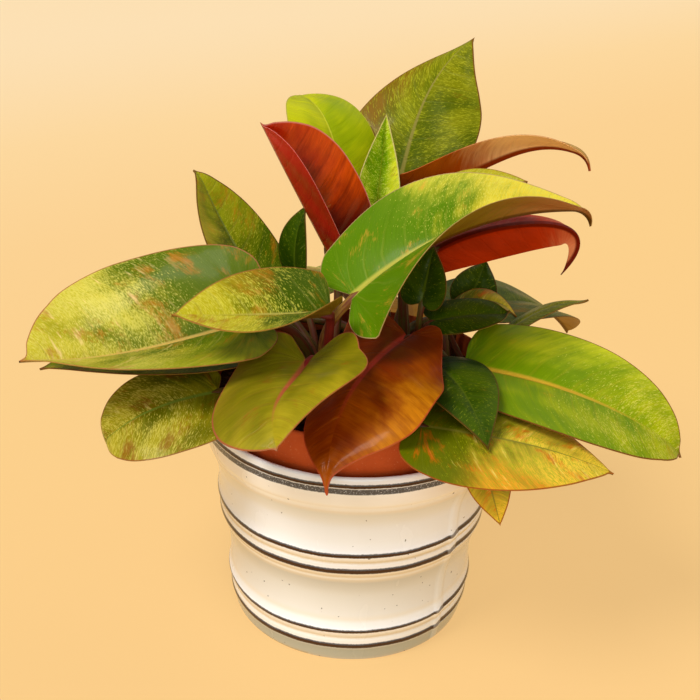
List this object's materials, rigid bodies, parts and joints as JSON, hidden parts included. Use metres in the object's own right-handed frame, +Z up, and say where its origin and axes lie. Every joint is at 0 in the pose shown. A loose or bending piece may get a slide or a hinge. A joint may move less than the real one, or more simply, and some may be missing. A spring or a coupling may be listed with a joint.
{
  "type": "potted philodendron",
  "caption": "Leafy philodendron with heart-based green, bronze and red leaves, in a clay growing pot that stands inside a ridged, flared, cream-glazed stoneware pot.",
  "frame": {"origin": "centre of the outer pot's flat base, where it stands", "axes": "+Z up; -Y towards the viewer of the picture; +X to that viewer's right"},
  "size_m": [0.3225, 0.2534, 0.297],
  "materials": {
    "cream_glaze": "glossy glaze",
    "clay": "matt fired clay",
    "soil": "crumbly",
    "crown_bark": "dry and fibrous",
    "leaf_speckled": "semi-gloss",
    "leaf_green": "semi-gloss",
    "leaf_olive": "semi-gloss",
    "leaf_bronze": "semi-gloss",
    "leaf_lime": "semi-gloss",
    "leaf_orange": "semi-gloss",
    "leaf_red": "semi-gloss",
    "leaf_dark": "semi-gloss",
    "leaf_yellow": "semi-gloss"
  },
  "bodies": {
    "root": {"glazed_pot": "cream_glaze", "clay_pot": "clay", "soil": "soil", "crown_left": "crown_bark", "crown_right": "crown_bark", "crown_back": "crown_bark", "leaf_far_left": "leaf_speckled", "leaf_left_pointed": "leaf_speckled", "leaf_upper_left": "leaf_green", "leaf_low_left": "leaf_speckled", "leaf_under_left": "leaf_green", "leaf_front_left": "leaf_olive", "leaf_front_bronze": "leaf_bronze", "leaf_centre": "leaf_lime", "leaf_right_curved": "leaf_olive", "leaf_right_folded": "leaf_orange", "leaf_top": "leaf_green", "leaf_top_left": "leaf_lime", "leaf_red_upright": "leaf_red", "leaf_spear": "leaf_speckled", "leaf_small_back": "leaf_dark", "leaf_right_large": "leaf_lime", "leaf_right_low": "leaf_yellow", "leaf_front_small": "leaf_dark", "leaf_right_hanging": "leaf_yellow", "leaf_inner_right": "leaf_dark", "leaf_right_tip": "leaf_dark", "leaf_inner_cup": "leaf_dark", "leaf_inner_yellow": "leaf_yellow", "leaf_inner_dark": "leaf_dark", "leaf_behind_centre": "leaf_green", "leaf_back_left": "leaf_lime", "leaf_back_middle": "leaf_speckled", "leaf_back_right": "leaf_speckled", "leaf_back_low": "leaf_green", "leaf_right_back": "leaf_olive"}
  },
  "joints": []
}
